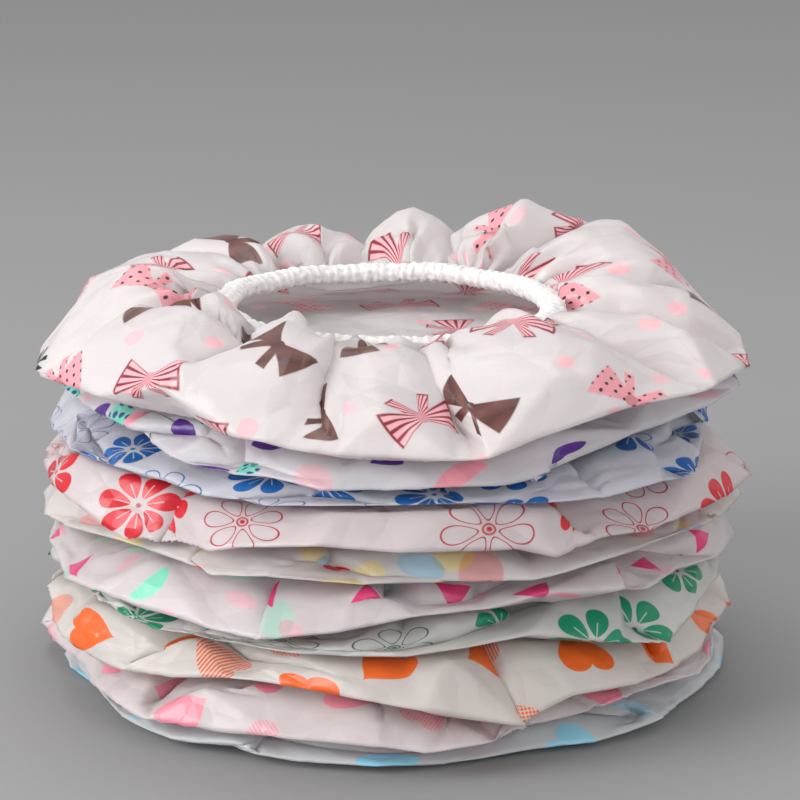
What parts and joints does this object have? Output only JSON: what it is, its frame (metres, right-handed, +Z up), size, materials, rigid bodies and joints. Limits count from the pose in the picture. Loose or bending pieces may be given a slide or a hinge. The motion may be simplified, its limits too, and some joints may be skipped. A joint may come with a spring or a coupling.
{
  "type": "stack of shower caps",
  "caption": "Stack of round shower caps of milky printed film, openings up, each gathered by a ruffled white binding over an elastic ring.",
  "frame": {"origin": "on the ground under the middle of the stack, at the crown of the lowest cap", "axes": "+Z up through the middle of every cap, +X to the right and +Y away from the viewer of the picture"},
  "size_m": [0.3007, 0.301, 0.1709],
  "materials": {
    "sky_heart_film": "milky film, satin, printed with light blue hearts",
    "rose_heart_film": "milky film, satin, printed with pink hearts",
    "orange_heart_film": "milky film, satin, printed with orange hearts",
    "green_daisy_film": "milky film, satin, printed with green flowers",
    "mint_confetti_film": "milky film, satin, printed with mint, pink and magenta shapes",
    "sunny_confetti_film": "milky film, satin, printed with red, yellow and light blue shapes",
    "red_daisy_film": "milky film, satin, printed with red flowers",
    "blue_daisy_film": "milky film, satin, printed with blue flowers",
    "garden_film": "milky film, satin, printed with purple leaves and pink and teal shapes",
    "bow_film": "milky film, satin, printed with pink and brown bows",
    "binding": "white crimped strip, matte",
    "elastic": "natural rubber, matte"
  },
  "bodies": {
    "sky_heart_cap": {"sky_heart_cap_film": "sky_heart_film", "sky_heart_cap_binding": "binding", "sky_heart_cap_elastic": "elastic"},
    "rose_heart_cap": {"rose_heart_cap_film": "rose_heart_film", "rose_heart_cap_binding": "binding", "rose_heart_cap_elastic": "elastic"},
    "orange_heart_cap": {"orange_heart_cap_film": "orange_heart_film", "orange_heart_cap_binding": "binding", "orange_heart_cap_elastic": "elastic"},
    "green_daisy_cap": {"green_daisy_cap_film": "green_daisy_film", "green_daisy_cap_binding": "binding", "green_daisy_cap_elastic": "elastic"},
    "mint_confetti_cap": {"mint_confetti_cap_film": "mint_confetti_film", "mint_confetti_cap_binding": "binding", "mint_confetti_cap_elastic": "elastic"},
    "sunny_confetti_cap": {"sunny_confetti_cap_film": "sunny_confetti_film", "sunny_confetti_cap_binding": "binding", "sunny_confetti_cap_elastic": "elastic"},
    "red_daisy_cap": {"red_daisy_cap_film": "red_daisy_film", "red_daisy_cap_binding": "binding", "red_daisy_cap_elastic": "elastic"},
    "blue_daisy_cap": {"blue_daisy_cap_film": "blue_daisy_film", "blue_daisy_cap_binding": "binding", "blue_daisy_cap_elastic": "elastic"},
    "garden_cap": {"garden_cap_film": "garden_film", "garden_cap_binding": "binding", "garden_cap_elastic": "elastic"},
    "bow_cap": {"bow_cap_film": "bow_film", "bow_cap_binding": "binding", "bow_cap_elastic": "elastic"}
  },
  "joints": [
    {"name": "lift_rose_heart_cap", "type": "slide", "parent": "sky_heart_cap", "child": "rose_heart_cap", "axis": [0, 0, 1], "range_m": [0, 0.04]},
    {"name": "lift_orange_heart_cap", "type": "slide", "parent": "rose_heart_cap", "child": "orange_heart_cap", "axis": [0, 0, 1], "range_m": [0, 0.04]},
    {"name": "lift_green_daisy_cap", "type": "slide", "parent": "orange_heart_cap", "child": "green_daisy_cap", "axis": [0, 0, 1], "range_m": [0, 0.04]},
    {"name": "lift_mint_confetti_cap", "type": "slide", "parent": "green_daisy_cap", "child": "mint_confetti_cap", "axis": [0, 0, 1], "range_m": [0, 0.04]},
    {"name": "lift_sunny_confetti_cap", "type": "slide", "parent": "mint_confetti_cap", "child": "sunny_confetti_cap", "axis": [0, 0, 1], "range_m": [0, 0.04]},
    {"name": "lift_red_daisy_cap", "type": "slide", "parent": "sunny_confetti_cap", "child": "red_daisy_cap", "axis": [0, 0, 1], "range_m": [0, 0.04]},
    {"name": "lift_blue_daisy_cap", "type": "slide", "parent": "red_daisy_cap", "child": "blue_daisy_cap", "axis": [0, 0, 1], "range_m": [0, 0.04]},
    {"name": "lift_garden_cap", "type": "slide", "parent": "blue_daisy_cap", "child": "garden_cap", "axis": [0, 0, 1], "range_m": [0, 0.04]},
    {"name": "lift_bow_cap", "type": "slide", "parent": "garden_cap", "child": "bow_cap", "axis": [0, 0, 1], "range_m": [0, 0.04]}
  ]
}
